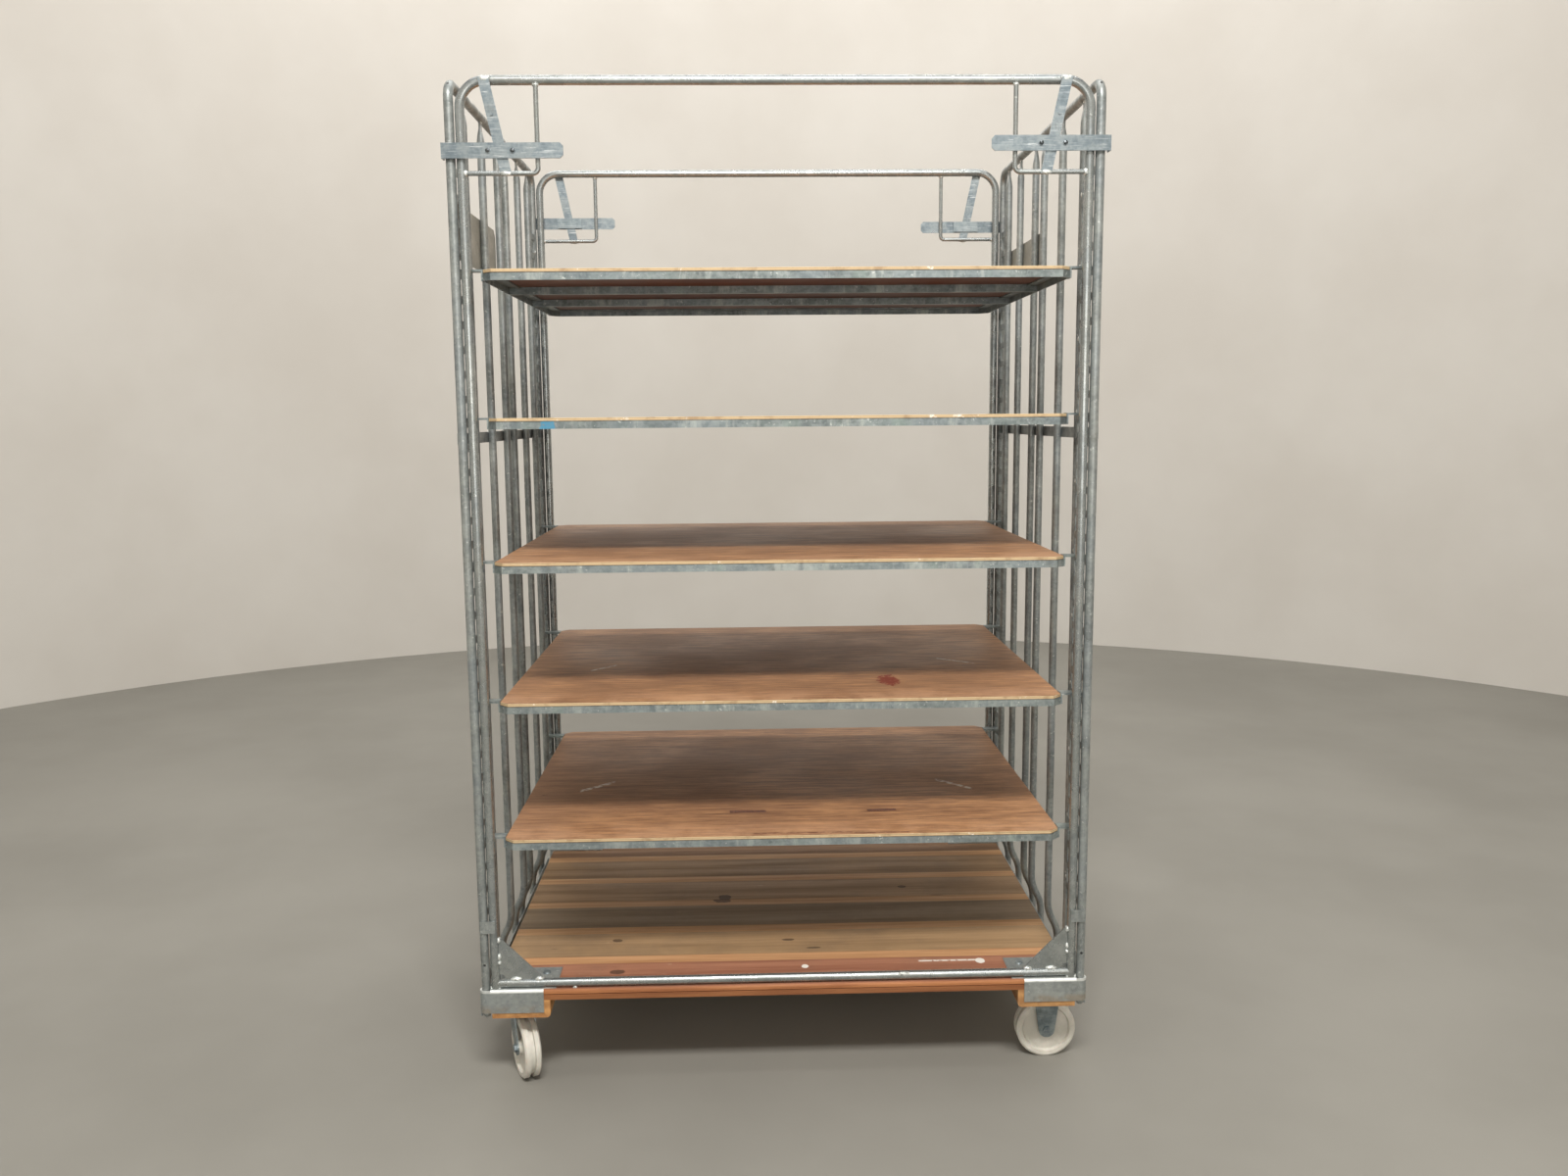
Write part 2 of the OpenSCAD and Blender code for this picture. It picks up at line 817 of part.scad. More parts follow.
// Wheel turned from its half section: hub, recessed web, rim and tread groove
module wheel(axle_x) {
    rim_w = wheel_w / 2;
    half = [
        [axle_r + king_clear, rim_w + 1.2], [hub_r, rim_w + 1.2], [hub_r, web_w / 2 + 2],
        [hub_r + 2, web_w / 2], [wheel_r - 15, web_w / 2], [wheel_r - 12, rim_w],
        [wheel_r - 4, rim_w], [wheel_r, rim_w - 3], [wheel_r, tread_groove_w / 2 + 1],
        [wheel_r - tread_groove_d, tread_groove_w / 2]
    ];
    section = concat(half, [for (i = [len(half) - 1 : -1 : 0]) [half[i].x, -half[i].y]]);
    translate([axle_x, 0, wheel_r])
        rotate([90, 0, 0])
            rotate_extrude()
                polygon(section);
}

module swivel_axle(sy, angle) {
    color(PALE_ZINC)
        translate([-caster_x, sy * caster_y, 0])
            rotate([0, 0, angle])
                axle(trail);
}

module swivel_wheel(sy, angle) {
    color(NYLON)
        translate([-caster_x, sy * caster_y, 0])
            rotate([0, 0, angle])
                wheel(trail);
}

module rigid_bracket(sy) {
    web_z = caster_h - plate_t_caster;
    out_y = wheel_w / 2 + leg_gap + leg_t;
    color(ZINC)
        translate([caster_x, sy * caster_y, 0]) {
            caster_top();
            block([-bracket_top, -out_y, web_z - leg_t], [bracket_top, out_y, web_z + 1]);
            legs(web_z - 1, -bracket_top, bracket_top, 0, bracket_end_r);
            for (s = [0, 1])
                mirror([0, s, 0])
                    prism_y([
                        [-rib_top, web_z - leg_t], [rib_top, web_z - leg_t],
                        [rib_foot, rib_foot_z], [-rib_foot, rib_foot_z]
                    ], out_y - 1, out_y + rib_out);
        }
}

module rigid_axle(sy) {
    color(PALE_ZINC)
        translate([caster_x, sy * caster_y, 0])
            axle(0);
}

module rigid_wheel(sy) {
    color(NYLON)
        translate([caster_x, sy * caster_y, 0])
            wheel(0);
}

deck_plank(1);  // deck_plank_1
deck_plank(2);  // deck_plank_2
deck_plank(3);  // deck_plank_3
deck_plank(4);  // deck_plank_4
deck_plank(5);  // deck_plank_5
deck_plank(6);  // deck_plank_6
runner(-1);  // runner_left
runner(1);  // runner_right
corner_cap(-1, -1);  // corner_cap_front_left
corner_cap(1, -1);  // corner_cap_front_right
corner_cap(-1, 1);  // corner_cap_rear_left
corner_cap(1, 1);  // corner_cap_rear_right
deck_bolts();
portal(-1);  // portal_front
portal(1);  // portal_rear
latch_guides(-1);  // latch_guides_front
latch_guides(1);  // latch_guides_rear
side_frame(-1);  // side_left_frame
side_bars(-1);  // side_left_bars
side_ladders(-1);  // side_left_ladders
side_strips(-1);  // side_left_strips
side_plate(-1);  // side_left_plate
side_frame(1);  // side_right_frame
side_bars(1);  // side_right_bars
side_ladders(1);  // side_right_ladders
side_strips(1);  // side_right_strips
side_plate(1);  // side_right_plate
shelf_frame(1);  // shelf_1_frame
shelf_board(1);  // shelf_1_board
shelf_frame(2);  // shelf_2_frame
shelf_board(2);  // shelf_2_board
shelf_frame(3);  // shelf_3_frame
shelf_board(3);  // shelf_3_board
shelf_frame(4);  // shelf_4_frame
shelf_board(4);  // shelf_4_board
shelf_frame(5);  // shelf_5_frame
shelf_board(5);  // shelf_5_board
latch_bar(-1, -1, latch_z_front_left);  // latch_front_left_bar
latch_keeper(-1, -1, latch_z_front_left);  // latch_front_left_keeper
latch_bar(1, -1, latch_z_front_right);  // latch_front_right_bar
latch_keeper(1, -1, latch_z_front_right);  // latch_front_right_keeper
latch_bar(-1, 1, latch_z_rear_left);  // latch_rear_left_bar
latch_keeper(-1, 1, latch_z_rear_left);  // latch_rear_left_keeper
latch_bar(1, 1, latch_z_rear_right);  // latch_rear_right_bar
latch_keeper(1, 1, latch_z_rear_right);  // latch_rear_right_keeper
swivel_plate(-1);  // caster_front_left_plate
swivel_fork(-1, front_swivel);  // caster_front_left_fork
swivel_axle(-1, front_swivel);  // caster_front_left_axle
swivel_wheel(-1, front_swivel);  // caster_front_left_wheel
swivel_plate(1);  // caster_rear_left_plate
swivel_fork(1, rear_swivel);  // caster_rear_left_fork
swivel_axle(1, rear_swivel);  // caster_rear_left_axle
swivel_wheel(1, rear_swivel);  // caster_rear_left_wheel
rigid_bracket(-1);  // caster_front_right_bracket
rigid_axle(-1);  // caster_front_right_axle
rigid_wheel(-1);  // caster_front_right_wheel
rigid_bracket(1);  // caster_rear_right_bracket
rigid_axle(1);  // caster_rear_right_axle
rigid_wheel(1);  // caster_rear_right_wheel
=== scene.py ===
import math

import bmesh
import bpy
from mathutils import Matrix, Vector, noise


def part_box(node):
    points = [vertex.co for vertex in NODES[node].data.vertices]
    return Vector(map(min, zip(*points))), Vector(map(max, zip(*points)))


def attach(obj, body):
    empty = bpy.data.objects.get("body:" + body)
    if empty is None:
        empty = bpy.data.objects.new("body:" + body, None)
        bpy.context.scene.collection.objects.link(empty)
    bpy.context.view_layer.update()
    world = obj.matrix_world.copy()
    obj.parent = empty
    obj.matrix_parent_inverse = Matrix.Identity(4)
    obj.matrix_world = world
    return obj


# Shelf trolley: materials, welds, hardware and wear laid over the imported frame, in a plain
# studio. Metres, X to the right, Y to the rear, Z up, as in the frame.

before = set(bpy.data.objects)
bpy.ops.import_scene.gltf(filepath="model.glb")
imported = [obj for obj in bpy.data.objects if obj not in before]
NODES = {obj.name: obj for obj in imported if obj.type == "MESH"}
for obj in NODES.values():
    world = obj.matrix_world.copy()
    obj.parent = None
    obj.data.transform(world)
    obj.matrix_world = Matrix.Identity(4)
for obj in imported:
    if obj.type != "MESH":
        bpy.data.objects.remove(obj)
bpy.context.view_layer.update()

SIDES = {"left": -1, "right": 1}
ENDS = {"front": -1, "rear": 1}
SHELVES = range(1, 6)


def span(node, axis):
    """Lowest and highest coordinate of a CAD node along an axis, 0 to 2."""
    low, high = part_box(node)
    return low[axis], high[axis]


# Places read from the frame
TUBE_R = 0.009
PORTAL_Y = span("portal_rear", 1)[0] + TUBE_R
POST_X = span("portal_rear", 0)[1] - TUBE_R
TOP_TUBE_Z = span("portal_rear", 2)[1] - TUBE_R
CAP_TOP = span("corner_cap_rear_right", 2)[1]
PANEL_X = POST_X + 0.020
RAIL_Z = span("side_right_frame", 2)[1] - TUBE_R
RAIL_BEND = 0.030
FOOT_TUBE_R = 0.0084
FOOT_TUBE_Z = CAP_TOP + 0.0005 + FOOT_TUBE_R
WIRE_X = 0.443
WIRE_Z = 1.805
STRAP_TILT = math.radians(12)
STRAP_TOP_X = 0.536
RIVET_GAP = 0.045
DECK_TOP = span("deck_plank_1", 2)[1]
RUNG_PITCH = 0.0465
BARS_Y = (-0.335, -0.168, -0.005, 0.080, 0.240, 0.375)

# Marks drawn in shaders: how softly their sides and ends fade, and the edge of a ragged blot
STROKE_SOFT_SIDE = 0.0012
STROKE_SOFT_END = 0.003
BLOT_SOFT = 0.12
# Height of one pair of plywood layers
PLY_LAYER = 0.003


# ---- colours and shader helpers ----

def colour(code):
    """Linear RGBA from a six-digit sRGB code."""
    parts = [int(code[i:i + 2], 16) / 255 for i in (0, 2, 4)]
    linear = [p / 12.92 if p <= 0.04045 else ((p + 0.055) / 1.055) ** 2.4 for p in parts]
    return (*linear, 1.0)


class Shader:
    """One procedural material; its coordinates are the object's own, in metres."""

    def __init__(self, name):
        self.material = bpy.data.materials.new(name)
        self.material.use_nodes = True
        self.tree = self.material.node_tree
        self.bsdf = self.tree.nodes["Principled BSDF"]
        self.place = self.add("ShaderNodeTexCoord").outputs["Object"]
        split = self.add("ShaderNodeSeparateXYZ", {"Vector": self.place})
        self.x, self.y, self.z = split.outputs

    def add(self, kind, inputs=None, **settings):
        """A new node, with its settings and its inputs filled in."""
        node = self.tree.nodes.new(kind)
        for key, value in settings.items():
            setattr(node, key, value)
        for key, value in (inputs or {}).items():
            self.feed(node.inputs[key], value)
        return node

    def feed(self, socket, value):
        if isinstance(value, bpy.types.NodeSocket):
            self.tree.links.new(value, socket)
        else:
            socket.default_value = value

    def stretched(self, stretch, offset):
        """The object's coordinates, stretched and moved."""
        return self.add("ShaderNodeMapping", {
            "Vector": self.place, "Scale": stretch, "Location": offset,
        }).outputs["Vector"]

    def noise(self, scale, detail=4, rough=0.55, stretch=(1, 1, 1), offset=(0, 0, 0), twist=0.0):
        return self.add("ShaderNodeTexNoise", {
            "Vector": self.stretched(stretch, offset), "Scale": scale, "Detail": detail,
            "Roughness": rough, "Distortion": twist,
        }).outputs["Fac"]

    def cells(self, scale, stretch=(1, 1, 1), offset=(0, 0, 0), output="Distance"):
        return self.add("ShaderNodeTexVoronoi", {
            "Vector": self.stretched(stretch, offset), "Scale": scale,
        }).outputs[output]

    def rings(self, scale, twist, stretch, offset):
        return self.add("ShaderNodeTexWave", {
            "Vector": self.stretched(stretch, offset), "Scale": scale, "Distortion": twist,
            "Detail": 3.0, "Detail Scale": 1.2,
        }, wave_type="RINGS", rings_direction="X").outputs["Fac"]

    def mix(self, fac, a, b):
        """Colour a where fac is 0, b where it is 1."""
        return self.add("ShaderNodeMix", {"Factor": fac, 6: a, 7: b}, data_type="RGBA").outputs[2]

    def tint(self, base, mask, amount, code):
        """base with a colour laid over it where mask is 1."""
        return self.mix(self.maths("MULTIPLY", mask, amount), base, colour(code))

    def maths(self, operation, a, b=0.0):
        return self.add("ShaderNodeMath", {0: a, 1: b}, operation=operation).outputs[0]

    def scaled(self, value, low, high, to_low=0.0, to_high=1.0):
        """Smooth step from to_low, where value is low, to to_high, where value is high."""
        return self.add("ShaderNodeMapRange", {
            "Value": value, "From Min": low, "From Max": high, "To Min": to_low, "To Max": to_high,
        }, interpolation_type="SMOOTHSTEP").outputs["Result"]

    def patches(self, low, high, scale, **noise_settings):
        """Cloudy mask: noise below low is 0, above high is 1."""
        return self.scaled(self.noise(scale, **noise_settings), low, high)

    def band(self, value, low, high, soft):
        """1 between low and high, fading to 0 over soft."""
        rise = self.scaled(value, low - soft, low + soft)
        fall = self.scaled(value, high + soft, high - soft)
        return self.maths("MULTIPLY", rise, fall)

    def stroke(self, x, y, length, width, slope=0.0):
        """Mask of a straight mark on a level face, length measured along X."""
        line = self.maths("ADD", self.maths("MULTIPLY", self.x, slope), y - slope * x)
        across = self.maths("SUBTRACT", self.y, line)
        half_width = width * math.sqrt(1 + slope * slope) / 2
        return self.maths(
            "MULTIPLY", self.band(across, -half_width, half_width, STROKE_SOFT_SIDE),
            self.band(self.x, x - length / 2, x + length / 2, STROKE_SOFT_END))

    def blot(self, x, y, half_x, half_y, ragged, grain):
        """Mask of an oval mark on a level face; ragged and grain shape its torn edge."""
        def squared(value, middle, half):
            gap = self.maths("DIVIDE", self.maths("SUBTRACT", value, middle), half)
            return self.maths("POWER", gap, 2.0)

        oval = self.maths("ADD", squared(self.x, x, half_x), squared(self.y, y, half_y))
        rag = self.maths("MULTIPLY", self.noise(grain, detail=5, offset=(x, y, 0)), 2 * ragged)
        return self.scaled(
            self.maths("ADD", oval, rag), ragged + 1 + BLOT_SOFT, ragged + 1 - BLOT_SOFT)

    def near(self, point, radius, soft):
        """Mask round a point and its mirror images left, right, front and rear."""
        mirrored = self.add(
            "ShaderNodeVectorMath", {0: self.place}, operation="ABSOLUTE").outputs["Vector"]
        gap = self.add(
            "ShaderNodeVectorMath", {0: mirrored, 1: point}, operation="DISTANCE").outputs["Value"]
        return self.scaled(gap, radius + soft, radius - soft)

    def bump(self, height, strength, distance):
        return self.add("ShaderNodeBump", {
            "Height": height, "Strength": strength, "Distance": distance}).outputs["Normal"]

    def finish(self, **inputs):
        """Connects the surface inputs, named with _ for a space, and returns the material."""
        for key, value in inputs.items():
            self.feed(self.bsdf.inputs[key.replace("_", " ")], value)
        return self.material


# ---- metals ----

def galvanised(name, pale, dark, rough, along, metal=0.55, blotch=22.0, seed=0, marks=None):
    """Dull hot-dip zinc: spangle, cloudy blotches and rubbed streaks along the part."""
    s = Shader(name)
    shift = (seed * 1.9, seed * 0.7, seed * 2.6)
    tone = s.add("ShaderNodeSeparateColor", {"Color": s.cells(170, output="Color")}).outputs[0]
    clouds = s.noise(blotch, detail=6, rough=0.66, offset=shift)
    streaks = s.noise(75, detail=5, stretch=along, offset=shift)
    cloudy = s.maths("ADD", s.maths("MULTIPLY", clouds, 0.6), s.maths("MULTIPLY", streaks, 0.4))
    base = s.mix(s.scaled(cloudy, 0.28, 0.74), dark, pale)
    base = s.tint(base, tone, 0.10, "f2f6f6")
    tint = s.patches(0.42, 0.6, 5, detail=3, offset=(7, 3, seed))
    base = s.tint(base, tint, 0.18, "8794a0")
    grime = s.patches(0.55, 0.75, 9, detail=8, rough=0.72, offset=(3, 1, 7 + seed))
    base = s.tint(base, grime, 0.38, "66604f")
    white = s.patches(0.64, 0.72, 130, detail=4, offset=(9, 4, 2 + seed))
    base = s.tint(base, white, 0.5, "dfe3e0")
    if marks:
        base = marks(s, base)
    roughness = s.scaled(cloudy, 0.3, 0.7, rough + 0.10, rough - 0.08)
    fine = s.noise(420, detail=3)
    normal = s.bump(s.maths("ADD", s.maths("MULTIPLY", fine, 0.5), clouds), 0.15, 0.0005)
    return s.finish(
        Base_Color=base, Roughness=s.maths("ADD", roughness, s.maths("MULTIPLY", grime, 0.15)),
        Metallic=s.maths("SUBTRACT", metal, s.maths("MULTIPLY", grime, 0.25)), Normal=normal)


def vent_hole_shade(s, base):
    """Small near-black disc on the front and rear elbow of each panel rail: painted shade of a vent
    hole.
    """
    hole_r, soft = 0.0026, 0.0004
    reach = (RAIL_BEND + TUBE_R) * math.sqrt(0.5)
    point = (PANEL_X, PORTAL_Y - RAIL_BEND + reach, RAIL_Z - RAIL_BEND + reach)
    # Painted shade: a near-black disc where a vent hole's dark inside would be
    return s.mix(s.near(point, hole_r, soft), base, colour("0c0b0a"))


def fold_highlight_and_stain(s, base):
    """Painted highlight as a patchy bright band where a corner cap folds over, and a stain below
    it.
    """
    # The bright band along the fold is a painted highlight, broken into patches
    rubbed = s.band(s.z, CAP_TOP - 0.0075, CAP_TOP - 0.0015, 0.0012)
    wear = s.patches(0.25, 0.5, 40, detail=5, offset=(2, 2, 2))
    base = s.tint(base, s.maths("MULTIPLY", rubbed, wear), 0.75, "eef1ef")
    lower = s.band(s.z, CAP_TOP - 0.052, CAP_TOP - 0.036, 0.006)
    stained = s.maths("MULTIPLY", lower, s.patches(0.48, 0.6, 13, detail=6))
    return s.tint(base, stained, 0.45, "9a8466")


def rim_mottle(s, base):
    """Pale and greenish upright smears on a shelf rim."""
    smear = s.patches(0.52, 0.66, 26, detail=6, rough=0.7, stretch=(1, 1, 0.2), offset=(6, 6, 6))
    base = s.tint(base, smear, 0.34, "cdd2cc")
    green = s.patches(0.56, 0.68, 14, detail=5, stretch=(1, 1, 0.3), offset=(1, 9, 4))
    return s.tint(base, green, 0.25, "8fa396")


def rim_mottle_blue(s, base):
    """The same rim with a blue chalk mark on its left front."""
    base = rim_mottle(s, base)
    spread = s.maths("MULTIPLY", s.noise(90, detail=5), 0.024)
    across = s.band(s.maths("ADD", s.x, spread), -0.448, -0.420, 0.002)
    mark = s.maths("MULTIPLY", across, s.scaled(s.y, -0.430, -0.434))
    mark = s.maths("MULTIPLY", mark, s.patches(0.36, 0.52, 150, detail=5))
    return s.tint(base, mark, 0.8, "4a94b8")


def bright_zinc(name, pale, dark, rough, marks=None):
    """Electroplated hardware: cooler and brighter, with long scratches and dull patches."""
    s = Shader(name)
    clouds = s.noise(38, detail=5, rough=0.6)
    brushed = s.noise(90, detail=5, stretch=(0.25, 1, 4))
    base = s.mix(s.scaled(clouds, 0.32, 0.7), dark, pale)
    base = s.tint(base, s.scaled(brushed, 0.5, 0.75), 0.3, "eef4f7")
    dirt = s.patches(0.58, 0.76, 16, detail=7, rough=0.72, offset=(5, 2, 1))
    base = s.tint(base, dirt, 0.35, "5f5b50")
    if marks:
        base = marks(s, base)
    normal = s.bump(s.maths("ADD", brushed, s.noise(300, detail=2)), 0.16, 0.0005)
    return s.finish(
        Base_Color=base, Metallic=0.8, Normal=normal,
        Roughness=s.scaled(clouds, 0.3, 0.7, rough + 0.1, rough - 0.06))


def bar_glints_and_scratches(s, base):
    """Painted highlights in fine lines along a latch bar, for pressed lines catching the light, and
    scratches across it.
    """
    scratches = s.patches(0.6, 0.68, 60, detail=6, rough=0.7, stretch=(4, 1, 0.5), offset=(3, 3, 3))
    base = s.tint(base, scratches, 0.5, "4f5a61")
    # Painted highlights: bright fine lines along the bar
    glints = s.patches(0.6, 0.7, 80, detail=5, stretch=(0.3, 1, 3), offset=(8, 1, 2))
    return s.tint(base, glints, 0.5, "f4f8fa")


def weld_metal():
    """Zinc-coated weld bead: pale, lumpy and a little glossy."""
    s = Shader("weld_metal")
    lumps = s.noise(190, detail=4, rough=0.6)
    base = s.mix(s.scaled(lumps, 0.35, 0.65), colour("b2b8b5"), colour("f0f3f0"))
    normal = s.bump(lumps, 0.6, 0.0012)
    return s.finish(Base_Color=base, Metallic=0.45, Roughness=0.34, Normal=normal)


def dark_rivet():
    """Rivet head, worn dark."""
    s = Shader("rivet_metal")
    wear = s.noise(300, detail=4)
    base = s.mix(s.scaled(wear, 0.4, 0.7), colour("3d4144"), colour("8b9296"))
    return s.finish(Base_Color=base, Metallic=0.8, Roughness=0.32, Normal=s.bump(wear, 0.2, 0.0004))


# ---- timber ----

def board_wood(
        name, pale, dark, seed, stripe=None, knots=(), grain_axis=0, paint_marks=(), edge=None):
    """Worn softwood board; stripe is (low y, high y) of its cleaner, lighter edge band.

    edge is the y of the board's weathered front face, and grain_axis is 0 for X or 1 for Y.
    """
    s = Shader(name)
    along_grain, across_grain = 1.0, 24.0
    stretch = [across_grain] * 3
    stretch[grain_axis] = along_grain
    shift = (seed * 1.7, seed * 0.9, seed * 2.3)
    fibre = s.noise(4, detail=9, rough=0.6, stretch=stretch, offset=shift, twist=0.3)
    fine = s.noise(34, detail=6, rough=0.6, stretch=stretch, offset=shift)
    ring_stretch = (0.5, 6, 6) if grain_axis == 0 else (6, 0.5, 6)
    figure = s.rings(2.1, 5.0, stretch=ring_stretch, offset=shift)
    grain = s.maths("ADD", s.maths("MULTIPLY", fibre, 0.75), s.maths("MULTIPLY", figure, 0.25))
    base = s.mix(s.scaled(grain, 0.15, 0.8), dark, pale)
    base = s.mix(s.maths("MULTIPLY", s.scaled(fine, 0.52, 0.75), 0.22), base, dark)
    worn = s.patches(0.42, 0.66, 3.2, detail=6, rough=0.7, offset=shift)
    base = s.tint(base, worn, 0.35, "6b5947")
    if stripe:
        clean = s.band(s.y, stripe[0], stripe[1], 0.0016)
        honey = s.mix(s.scaled(fibre, 0.2, 0.8), colour("c08d5a"), colour("e6b684"))
        base = s.mix(s.maths("MULTIPLY", clean, 0.72), base, honey)
    if edge:
        facing = s.scaled(s.y, edge + 0.004, edge + 0.0015)
        front_grain = s.mix(s.scaled(fibre, 0.3, 0.7), colour("8f5732"), colour("b67a4c"))
        shaded = s.maths("MULTIPLY", s.scaled(s.z, DECK_TOP - 0.010, DECK_TOP - 0.013), 0.5)
        base = s.mix(facing, base, s.mix(shaded, front_grain, colour("5e3418")))
    spots = s.scaled(s.cells(2.3, stretch=(1.0, 3.2, 3.2), offset=shift), 0.045, 0.024)
    ring = s.maths("MULTIPLY", spots, 0.7)
    for x, y, half_x, half_y in knots:
        ring = s.maths("MAXIMUM", ring, s.blot(x, y, half_x, half_y, 1.0, 60))
    base = s.tint(base, ring, 0.72, "3a2416")
    scuffs = s.patches(0.63, 0.7, 26, detail=8, rough=0.75, stretch=(1, 2, 1), offset=(4, seed, 0))
    base = s.tint(base, scuffs, 0.28, "d0b79c")
    for x, y, length, width in paint_marks:
        ragged = s.patches(0.36, 0.46, 120, detail=5)
        if length > 2 * width:
            mark = s.maths("MULTIPLY", s.stroke(x, y, length, width), ragged)
        else:
            mark = s.blot(x, y, length, width, 0.3, 150)
        base = s.mix(mark, base, colour("f0ebe2"))
    height = s.maths("ADD", fine, s.maths("MULTIPLY", grain, 0.8))
    height = s.maths("SUBTRACT", height, s.maths("MULTIPLY", ring, 0.6))
    return s.finish(
        Base_Color=base, Roughness=s.scaled(grain, 0.2, 0.8, 0.72, 0.5),
        Normal=s.bump(height, 0.5, 0.0011))


def board_plywood(name, seed, top, scratches=(), stain=None, scrapes=()):
    """Film-faced plywood: worn salmon-brown top, pale layered edge, and a dark underside that is
    painted shade.

    top is the height of the board's upper face; the marks are as listed beside SCRATCHES.
    """
    s = Shader(name)
    shift = (seed * 2.9, seed * 1.3, 0)
    fibre = s.noise(11, detail=8, rough=0.65, stretch=(1, 9, 9), offset=shift)
    clouds = s.noise(2.6, detail=6, rough=0.62, offset=shift)
    face = s.mix(s.scaled(fibre, 0.32, 0.70), colour("8a6040"), colour("c79466"))
    face = s.tint(face, s.scaled(clouds, 0.4, 0.62), 0.5, "86634a")
    streaks = s.patches(
        0.53, 0.64, 9, detail=10, rough=0.8, stretch=(1, 16, 1), offset=(seed, 5, 0))
    face = s.tint(face, streaks, 0.55, "583b28")
    front = s.scaled(s.y, -0.30, -0.44)
    rubbed = s.maths("MULTIPLY", front, s.patches(0.35, 0.6, 9, detail=7, rough=0.7, offset=shift))
    face = s.tint(face, rubbed, 0.5, "d6a883")
    rim_dirt = s.maths(
        "MULTIPLY", s.scaled(s.y, -0.415, -0.428),
        s.patches(0.5, 0.6, 12, detail=8, rough=0.75, stretch=(1, 4, 1), offset=(seed, 2, 6)))
    face = s.tint(face, rim_dirt, 0.55, "6a4834")
    scuffs = s.patches(0.62, 0.7, 30, detail=9, rough=0.78, stretch=(1, 3, 1), offset=shift)
    face = s.tint(face, scuffs, 0.3, "d8bfa2")
    dark_marks = s.patches(
        0.64, 0.72, 17, detail=8, rough=0.75, stretch=(0.6, 2, 1), offset=(8, seed, 3))
    face = s.tint(face, dark_marks, 0.65, "3c2a20")
    wear = s.patches(0.35, 0.6, 70, detail=5, offset=shift)
    for x, y, length, width, slope in scratches:
        line = s.maths("MULTIPLY", s.stroke(x, y, length, width, slope), wear)
        face = s.tint(face, line, 0.95, "dcd3c4")
    for x, y, length, width in scrapes:
        line = s.maths("MULTIPLY", s.stroke(x, y, length, width), wear)
        face = s.tint(face, line, 0.8, "6a3d28")
    if stain:
        face = s.tint(face, s.blot(*stain, ragged=2.6, grain=105), 0.95, "7c2610")
    depth = s.maths("SUBTRACT", top, s.z)
    layers = s.maths("SINE", s.maths("MULTIPLY", depth, 2 * math.pi / PLY_LAYER))
    edge = s.mix(s.scaled(layers, -0.6, 0.6), colour("a98d68"), colour("d6c09a"))
    edge = s.tint(edge, s.patches(0.5, 0.7, 40, detail=6), 0.5, "8a6a4c")
    chips = s.patches(0.6, 0.66, 30, detail=7, rough=0.75, offset=(seed, 7, 1))
    edge = s.tint(edge, chips, 0.8, "f2ece0")
    # Painted shade: faces turned downwards get this darker colour
    under = s.mix(s.scaled(fibre, 0.35, 0.7), colour("5c3422"), colour("7d4a31"))
    facing = s.add("ShaderNodeSeparateXYZ", {
        "Vector": s.add("ShaderNodeTexCoord").outputs["Normal"]}).outputs[2]
    base = s.mix(s.scaled(facing, -0.3, -0.7), s.mix(s.scaled(facing, 0.3, 0.7), edge, face), under)
    height = s.maths("ADD", fibre, s.maths("MULTIPLY", scuffs, -0.5))
    return s.finish(
        Base_Color=base, Roughness=s.scaled(clouds, 0.3, 0.7, 0.46, 0.62),
        Normal=s.bump(height, 0.3, 0.0006))


# ---- other finishes ----

def moulded_nylon():
    """Off-white nylon with scuffed, dirty running surfaces."""
    s = Shader("wheel_nylon")
    clouds = s.noise(20, detail=6, rough=0.65)
    base = s.mix(s.scaled(clouds, 0.35, 0.7), colour("c8c5bb"), colour("dfdcd3"))
    dirt = s.patches(0.58, 0.74, 48, detail=7, rough=0.75, offset=(2, 8, 5))
    base = s.tint(base, dirt, 0.35, "9b9486")
    normal = s.bump(s.noise(160, detail=4), 0.2, 0.0006)
    return s.finish(
        Base_Color=base, Roughness=0.46, Normal=normal,
        Subsurface_Weight=0.08, Subsurface_Scale=0.01)


def painted_plate():
    """Pale grey painted sheet, chipped and dusty."""
    s = Shader("plate_paint")
    dust = s.noise(18, detail=7, rough=0.7)
    base = s.mix(s.scaled(dust, 0.4, 0.7), colour("8f9189"), colour("a9aba4"))
    chips = s.patches(0.67, 0.7, 60, detail=6, rough=0.8, offset=(1, 2, 3))
    base = s.mix(chips, base, colour("5f625e"))
    return s.finish(Base_Color=base, Metallic=0.35, Roughness=0.5, Normal=s.bump(dust, 0.2, 0.0005))


def packing_tape():
    """Brown parcel tape, creased."""
    s = Shader("brown_tape")
    creases = s.noise(130, detail=5, stretch=(3, 1, 1))
    base = s.mix(s.scaled(creases, 0.4, 0.65), colour("56301f"), colour("764432"))
    return s.finish(Base_Color=base, Roughness=0.4, Normal=s.bump(creases, 0.5, 0.0004))


def paint(node, material):
    """Gives a CAD node its material."""
    slots = NODES[node].data.materials
    slots.clear()
    slots.append(material)


